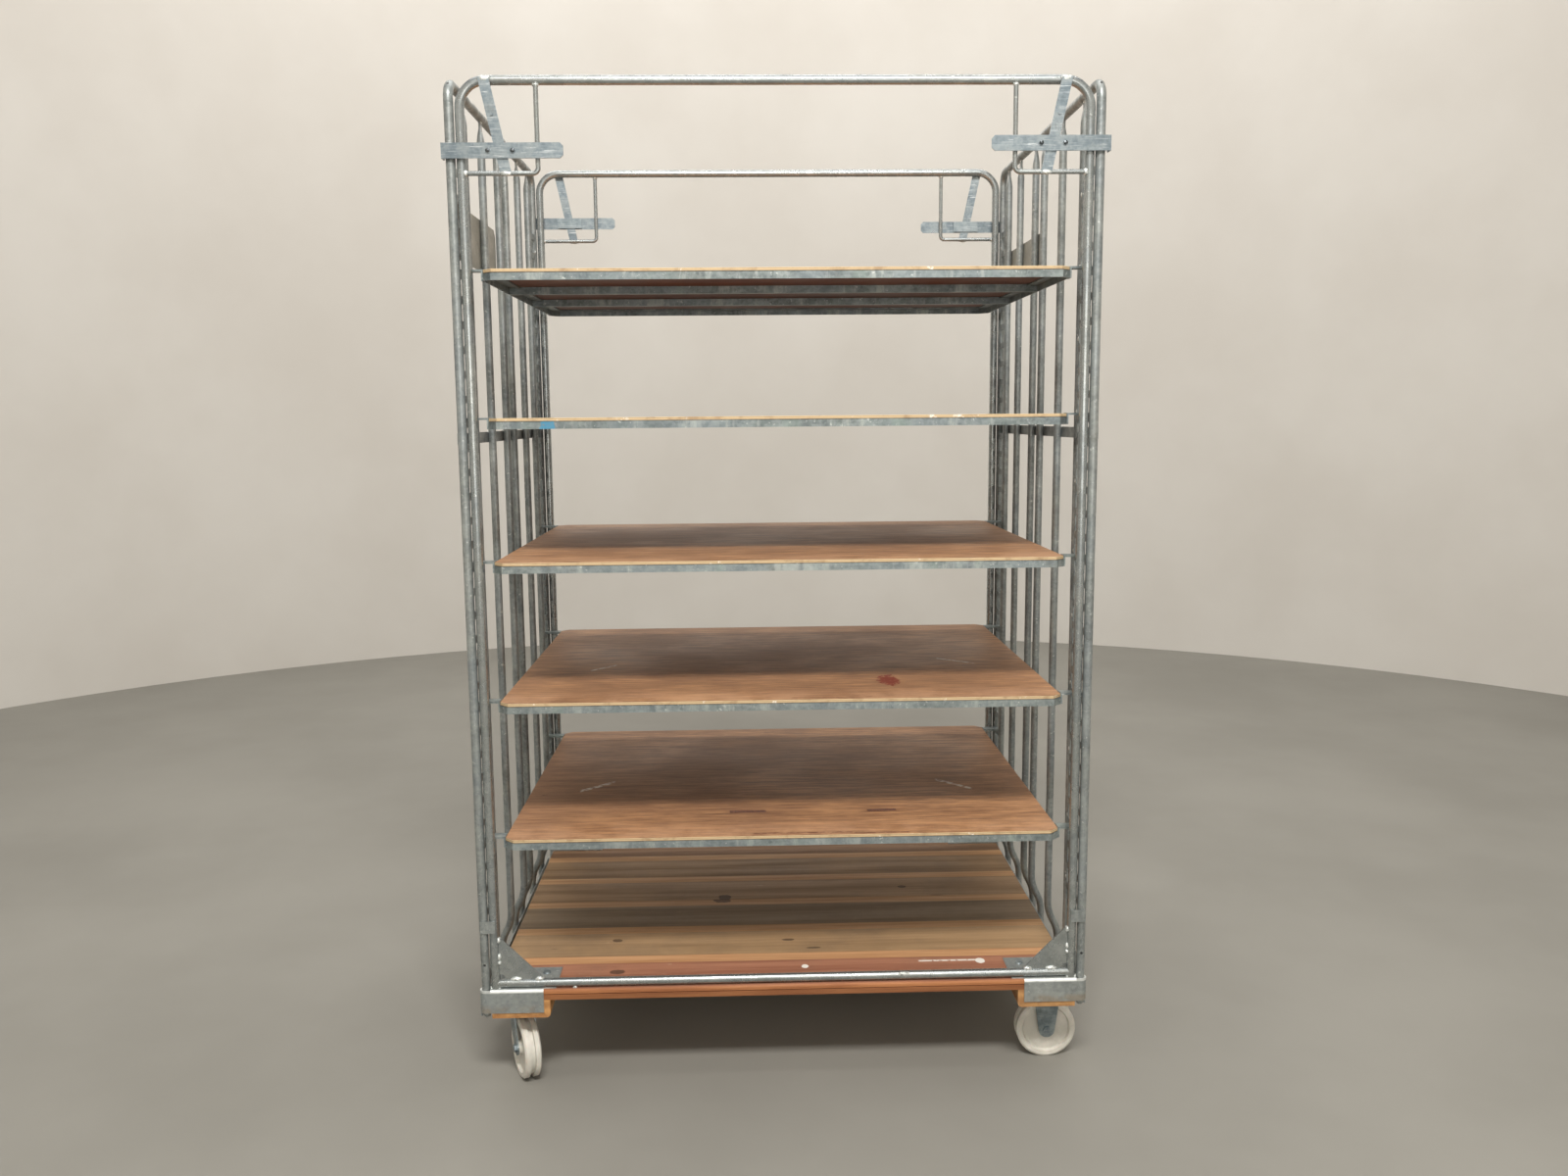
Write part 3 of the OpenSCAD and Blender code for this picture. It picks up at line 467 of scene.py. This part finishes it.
tube_metal = galvanised(
    "tube_zinc", colour("a4a9a6"), colour("666c6c"), 0.42, (1, 1, 0.08), marks=vent_hole_shade)
portal_metal = galvanised(
    "portal_zinc", colour("b1b5b3"), colour("8a908f"), 0.26, (0.5, 1, 0.3), metal=0.8, seed=1)
strip_metal = galvanised(
    "strip_zinc", colour("a9b0ae"), colour("6d7476"), 0.45, (1, 0.3, 1), seed=2)
sheet_metal = galvanised(
    "sheet_zinc", colour("a3a8a5"), colour("828887"), 0.44, (1, 1, 1), blotch=16.0, seed=3,
    marks=fold_highlight_and_stain)
latch_metal = bright_zinc("latch_zinc", colour("a4afb4"), colour("6b777e"), 0.33, bar_glints_and_scratches)
caster_metal = bright_zinc("caster_zinc", colour("a6b1b5"), colour("737f84"), 0.36)
weld = weld_metal()
rivet = dark_rivet()
nylon = moulded_nylon()
tape = packing_tape()
plate_finish = painted_plate()

for side in SIDES:
    for part in ("frame", "bars"):
        paint(f"side_{side}_{part}", tube_metal)
    for part in ("ladders", "strips"):
        paint(f"side_{side}_{part}", strip_metal)
    paint(f"side_{side}_plate", plate_finish)
for end in ENDS:
    paint(f"portal_{end}", portal_metal)
    paint(f"latch_guides_{end}", latch_metal)
    for side in SIDES:
        paint(f"corner_cap_{end}_{side}", sheet_metal)
        paint(f"latch_{end}_{side}_bar", latch_metal)
        paint(f"latch_{end}_{side}_keeper", caster_metal)
        paint(f"caster_{end}_{side}_wheel", nylon)
        paint(f"caster_{end}_{side}_axle", latch_metal)
    for part in ("plate", "fork"):
        paint(f"caster_{end}_left_{part}", caster_metal)
    paint(f"caster_{end}_right_bracket", caster_metal)
paint("deck_bolts", caster_metal)

# Board tones from front to rear: pale, dark
PLANK_TONES = [
    ("b27c60", "8b5740"), ("b3926b", "927553"), ("9c876c", "7d6a53"),
    ("b18f69", "8b6f50"), ("ad8a60", "866744"), ("a87f58", "7c5a3e"),
]
# Knots are (x, y, x radius, y radius)
KNOTS = {
    1: [(-0.347, -0.385, 0.017, 0.010)],
    2: [(-0.363, -0.227, 0.011, 0.008), (0.014, -0.240, 0.014, 0.006),
        (0.067, -0.284, 0.016, 0.004)],
    3: [(-0.137, -0.008, 0.020, 0.013)],
    4: [(-0.130, 0.012, 0.016, 0.018), (0.30, 0.06, 0.010, 0.008)],
}
# Paint drips on the front board are (x, y, length or x radius, width or y radius)
DRIPS = [
    (0.345, -0.3615, 0.120, 0.0065), (0.414, -0.366, 0.0100, 0.0125),
    (0.044, -0.376, 0.0075, 0.0085),
]
LIGHT_STRIPE = 0.035
for i, (pale, dark) in enumerate(PLANK_TONES, start=1):
    front, rear = span(f"deck_plank_{i}", 1)
    paint(f"deck_plank_{i}", board_wood(
        f"plank_wood_{i}", colour(pale), colour(dark), i, (rear - LIGHT_STRIPE, rear),
        KNOTS.get(i, ()), paint_marks=DRIPS if i == 1 else (), edge=front if i == 1 else None))
for i, side in enumerate(SIDES):
    paint(f"runner_{side}", board_wood(
        f"runner_wood_{side}", colour("cc9a60"), colour("9a6a3f"), 11 + i, grain_axis=1))

# Scratches are (x, y, length, width, slope), the stain is (x, y, x radius, y radius)
# and scrapes are (x, y, length, width)
SCRATCHES = {
    4: [(-0.392, -0.090, 0.050, 0.010, 1.1), (0.406, -0.062, 0.075, 0.009, -0.85)],
    5: [(-0.415, -0.075, 0.070, 0.014, 0.93), (0.398, -0.100, 0.069, 0.012, -1.05)],
}
STAINS = {4: (0.230, -0.262, 0.021, 0.050)}
SCRAPES = {
    4: [(0.10, -0.418, 0.16, 0.004)],
    5: [(0.04, -0.420, 0.20, 0.009), (0.20, -0.426, 0.11, 0.006)],
}
for k in SHELVES:
    # The two upper rims get darker tones: painted shade, where less light reaches
    pale, dark = ("87918f", "535d5f") if k <= 2 else ("9aa4a2", "616b6d")
    paint(f"shelf_{k}_frame", galvanised(
        f"rim_zinc_{k}", colour(pale), colour(dark), 0.44, (0.3, 1, 1), blotch=34.0, seed=4 + k,
        marks=rim_mottle_blue if k == 2 else rim_mottle))
    paint(f"shelf_{k}_board", board_plywood(
        f"plywood_{k}", k, span(f"shelf_{k}_board", 2)[1], SCRATCHES.get(k, ()), STAINS.get(k),
        SCRAPES.get(k, ())))


# ---- broken edges on the sheet metal and timber ----

def soften(node, width):
    """Rounds a CAD node's sharp edges with a small bevel."""
    bevel = NODES[node].modifiers.new("soft_edges", "BEVEL")
    bevel.width = width
    bevel.segments = 2
    bevel.limit_method = "ANGLE"
    bevel.angle_limit = math.radians(50)


for end in ENDS:
    soften(f"latch_guides_{end}", 0.0005)
    for side in SIDES:
        soften(f"latch_{end}_{side}_bar", 0.0006)
        soften(f"latch_{end}_{side}_keeper", 0.0004)
        soften(f"corner_cap_{end}_{side}", 0.0005)
for k in SHELVES:
    soften(f"shelf_{k}_frame", 0.0005)
for i in range(1, 7):
    soften(f"deck_plank_{i}", 0.0010)
for side in SIDES:
    soften(f"side_{side}_strips", 0.0005)
    soften(f"runner_{side}", 0.0012)


# ---- mesh helpers ----

def new_piece(name, mesh, material, body):
    """A smooth piece riding on a body."""
    obj = bpy.data.objects.new(name, mesh)
    bpy.context.scene.collection.objects.link(obj)
    mesh.materials.append(material)
    for face in mesh.polygons:
        face.use_smooth = True
    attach(obj, body)


def mesh_of(bm, name):
    mesh = bpy.data.meshes.new(name)
    bm.to_mesh(mesh)
    bm.free()
    return mesh


def add_blob(bm, centre, size, seed, lumpy=0.28):
    """A lumpy weld bead: a ball pressed to size = (x, y, z) half widths."""
    made = bmesh.ops.create_icosphere(bm, subdivisions=2, radius=1.0)["verts"]
    for v in made:
        lump = noise.noise(v.co * 1.6 + Vector((seed, seed * 0.7, seed * 1.3)))
        v.co *= 1.0 + lumpy * lump
        v.co = Vector(centre) + Vector((v.co.x * size[0], v.co.y * size[1], v.co.z * size[2]))


def weld_piece(name, beads):
    """One piece of weld beads on the base; beads is a list of (centre, half widths)."""
    bm = bmesh.new()
    for i, (centre, size) in enumerate(beads):
        add_blob(bm, centre, size, i + len(name))
    new_piece(name, mesh_of(bm, name), weld, "base")


def strap_x(z):
    """Distance of the guide strap's centre line from the middle at height z."""
    return STRAP_TOP_X - (TOP_TUBE_Z - 0.003 - z) * math.tan(STRAP_TILT)


def portal_welds(end):
    """Beads on a portal: gussets, guide straps and wires, on its outer and inner faces."""
    out = ENDS[end]
    y = out * PORTAL_Y
    inner_x = POST_X - TUBE_R
    low_z = FOOT_TUBE_Z + FOOT_TUBE_R
    gusset_face = 0.0025
    # (distance along the edge, half length of the bead)
    foot_edge = ((0.079, 0.009), (0.032, 0.012))
    post_edge = ((0.083, 0.006), (0.048, 0.007), (0.036, 0.004))
    strap_y = y + out * 0.0095
    wire_y = y + out * 0.0046
    beads = []
    for side in SIDES.values():
        for face in (-gusset_face, gusset_face):
            for gap, half in foot_edge:
                beads.append((
                    (side * (inner_x - gap), y + face, low_z + 0.0008), (half, 0.0046, 0.0046)))
            for gap, half in post_edge:
                beads.append((
                    (side * inner_x, y + face, low_z + gap), (0.0038, 0.0042, half)))
        beads += [
            # strap on the top tube, and on the guide wire
            ((side * strap_x(TOP_TUBE_Z), strap_y, TOP_TUBE_Z + 0.001), (0.0125, 0.0034, 0.0055)),
            ((side * strap_x(WIRE_Z), strap_y + out * 0.001, WIRE_Z - 0.001),
             (0.0115, 0.0040, 0.0050)),
            # guide wire on the post, and under the top tube
            ((side * (inner_x + 0.001), wire_y, WIRE_Z), (0.0050, 0.0055, 0.0062)),
            ((side * WIRE_X, wire_y - out * 0.001, TOP_TUBE_Z - TUBE_R), (0.0062, 0.0060, 0.0045)),
        ]
    # two stray beads on the bottom tube
    beads += [
        ((-out * 0.243, y + out * 0.005, FOOT_TUBE_Z + 0.004), (0.0150, 0.0045, 0.0050)),
        ((out * 0.425, y + out * 0.002, FOOT_TUBE_Z - FOOT_TUBE_R - 0.002),
         (0.0045, 0.0040, 0.0045)),
    ]
    weld_piece(f"welds_portal_{end}", beads)


def foot_welds():
    """Rings of bead where the portal posts stand on the corner caps."""
    steps = 12
    ring_r = TUBE_R + 0.0002
    cap_edge_y = PORTAL_Y + 0.0055
    beads = []
    for sx in SIDES.values():
        for sy in ENDS.values():
            for i in range(steps):
                angle = 2 * math.pi * i / steps
                x = sx * POST_X + ring_r * math.cos(angle)
                y = sy * PORTAL_Y + ring_r * math.sin(angle)
                if abs(y) <= cap_edge_y:
                    beads.append(((x, y, CAP_TOP + 0.0006), (0.0028, 0.0028, 0.0016)))
    weld_piece("welds_feet", beads)


def panel_welds(side):
    """Beads on a side panel: bar tops under the rail, strips on bars and ladder rungs."""
    s = SIDES[side]
    strip_top = span(f"side_{side}_strips", 2)[1]
    beads = []
    for y in BARS_Y:
        beads.append(((s * PANEL_X, y, RAIL_Z - TUBE_R - 0.0008), (0.0035, 0.0085, 0.0026)))
        beads.append(((s * (PANEL_X + 0.0085), y, strip_top), (0.0030, 0.0050, 0.0024)))
    ladder_low, ladder_high = span(f"side_{side}_ladders", 2)
    ladder_x = sum(span(f"side_{side}_ladders", 0)) / 2
    post_edge, bar_edge = PORTAL_Y - TUBE_R + 0.0004, 0.0082
    edges = (-post_edge, BARS_Y[0] - bar_edge, BARS_Y[5] + bar_edge, post_edge)
    rung = ladder_low + RUNG_PITCH / 2
    while rung < ladder_high:
        for i, y in enumerate(edges):
            drift = 0.010 * noise.noise(Vector((rung * 9, i * 3.1, s)))
            beads.append(((ladder_x - s * 0.0006, y, rung + drift), (0.0024, 0.0022, 0.0050)))
        rung += 3 * RUNG_PITCH
    weld_piece(f"welds_side_{side}", beads)


def rivet_domes(end, side):
    """Domed heads on the two rivets of a latch."""
    node = f"latch_{end}_{side}_keeper"
    x_low, x_high = span(node, 0)
    z_low, z_high = span(node, 2)
    face = span(node, 1)[0 if end == "front" else 1]
    bm = bmesh.new()
    for i, step in enumerate((-RIVET_GAP / 2, RIVET_GAP / 2)):
        centre = ((x_low + x_high) / 2 + step, face, (z_low + z_high) / 2)
        add_blob(bm, centre, (0.0044, 0.0019, 0.0044), i, 0.06)
    new_piece(
        f"rivets_{end}_{side}", mesh_of(bm, "rivets"), rivet, f"latch_{end}_{side}")


for end in ENDS:
    portal_welds(end)
    for side in SIDES:
        rivet_domes(end, side)
foot_welds()
for side in SIDES:
    panel_welds(side)


# ---- tape on the lowest shelf ----

def tape_strip(name, centre, length, width, turn):
    """A strip of tape with a ragged end, lying on the lowest shelf."""
    top = span("shelf_5_board", 2)[1]
    rows, columns = 5, 24
    clear, crease = 0.0003, 0.0003
    bm = bmesh.new()
    grid = []
    for i in range(columns + 1):
        for j in range(rows + 1):
            u = (i / columns - 0.5) * length
            v = (j / rows - 0.5) * width
            if i in (0, columns):
                u += 0.0015 * math.sin(j * 2.3 + length * 90)
            lift = clear + crease * abs(noise.noise(Vector((u * 60, v * 90, length * 40))))
            x = centre[0] + u * math.cos(turn) - v * math.sin(turn)
            y = centre[1] + u * math.sin(turn) + v * math.cos(turn)
            grid.append(bm.verts.new((x, y, top + lift)))
    for i in range(columns):
        for j in range(rows):
            a = i * (rows + 1) + j
            bm.faces.new((grid[a], grid[a + rows + 1], grid[a + rows + 2], grid[a + 1]))
    new_piece(name, mesh_of(bm, name), tape, "shelf_5")


tape_strip("tape_left", (-0.072, -0.277), 0.077, 0.017, 0.0)
tape_strip("tape_right", (0.214, -0.281), 0.062, 0.014, 0.03)


# ---- studio ----

LAMP_WHITE = (1.0, 0.97, 0.93)
WALL_WHITE = (1.0, 0.97, 0.94)


def studio_piece(name, mesh, pale, dark, smooth):
    """A floor or wall piece in matt paint."""
    piece = bpy.data.objects.new(name, mesh)
    bpy.context.scene.collection.objects.link(piece)
    s = Shader(name)
    soft = s.noise(1.1, detail=4)
    base = s.mix(s.scaled(soft, 0.25, 0.75), dark, pale)
    normal = s.bump(s.noise(60, detail=3), 0.1, 0.002)
    mesh.materials.append(s.finish(Base_Color=base, Roughness=0.8, Normal=normal))
    for face in mesh.polygons:
        face.use_smooth = smooth


def studio():
    """A pale floor and a round pale wall all the way round."""
    radius, height, sectors = 4.8, 6.5, 96
    bm = bmesh.new()
    rings = []
    for z in (0.0, height):
        ring = []
        for i in range(sectors):
            angle = 2 * math.pi * i / sectors
            ring.append(bm.verts.new((radius * math.cos(angle), radius * math.sin(angle), z)))
        rings.append(ring)
    for i in range(sectors):
        j = (i + 1) % sectors
        bm.faces.new((rings[0][i], rings[1][i], rings[1][j], rings[0][j]))
    studio_piece(
        "studio_wall", mesh_of(bm, "studio_wall"), colour("d2cfc9"), colour("cac6bf"), True)
    bm = bmesh.new()
    bmesh.ops.create_grid(bm, x_segments=1, y_segments=1, size=2 * radius)
    studio_piece(
        "studio_floor", mesh_of(bm, "studio_floor"), colour("8f8d86"), colour("84827b"), False)


def soft_light(name, place, aim, size, watts, tint=LAMP_WHITE):
    """A rectangular light that the camera doesn't see."""
    lamp = bpy.data.lights.new(name, "AREA")
    lamp.shape = "RECTANGLE"
    lamp.size, lamp.size_y = size
    lamp.energy = watts
    lamp.color = tint
    obj = bpy.data.objects.new(name, lamp)
    obj.location = place
    obj.rotation_euler = (Vector(aim) - Vector(place)).to_track_quat("-Z", "Y").to_euler()
    obj.visible_camera = False
    bpy.context.scene.collection.objects.link(obj)


def photo_camera():
    """The photograph's eye point, lens and tilt."""
    eye = (-0.0636, -2.8686, 1.3563)
    turn_right, tilt_down, roll = math.radians(1.62), math.radians(7.80), math.radians(-0.5)
    lens = bpy.data.cameras.new("camera")
    lens.sensor_fit = "HORIZONTAL"
    lens.sensor_width = 36.0
    lens.lens = 28.80
    camera = bpy.data.objects.new("camera", lens)
    camera.matrix_world = (
        Matrix.Translation(eye) @ Matrix.Rotation(-turn_right, 4, "Z")
        @ Matrix.Rotation(math.pi / 2 - tilt_down, 4, "X") @ Matrix.Rotation(roll, 4, "Z"))
    bpy.context.scene.collection.objects.link(camera)
    bpy.context.scene.camera = camera


def world_light(strength):
    """Faint even light from all round."""
    world = bpy.data.worlds.new("world")
    world.use_nodes = True
    back = world.node_tree.nodes["Background"]
    back.inputs["Color"].default_value = (0.95, 0.97, 1.0, 1)
    back.inputs["Strength"].default_value = strength
    bpy.context.scene.world = world


studio()
photo_camera()
bpy.context.scene.view_settings.view_transform = "Standard"
world_light(0.12)
soft_light("key", (0.1, -3.5, 4.3), (0, 0, 0.8), (1.6, 0.6), 215)
soft_light("fill", (0.4, -3.5, 1.5), (0, 0, 0.7), (2.4, 1.2), 18)
soft_light("back", (-0.6, 3.6, 3.2), (0, 0, 0.9), (1.8, 1.0), 6, (1.0, 0.98, 0.96))
soft_light("wall_wash_rear", (0, 2.0, 5.8), (0, 4.8, 2.0), (5.0, 0.8), 165, WALL_WHITE)
soft_light("wall_wash_left", (-2.0, 0, 5.8), (-4.8, 0, 2.0), (0.8, 5.0), 50, WALL_WHITE)
soft_light("wall_wash_right", (2.0, 0, 5.8), (4.8, 0, 2.0), (0.8, 5.0), 50, WALL_WHITE)
soft_light("wall_wash_front", (0, -2.0, 5.8), (0, -4.8, 2.0), (5.0, 0.8), 50, WALL_WHITE)
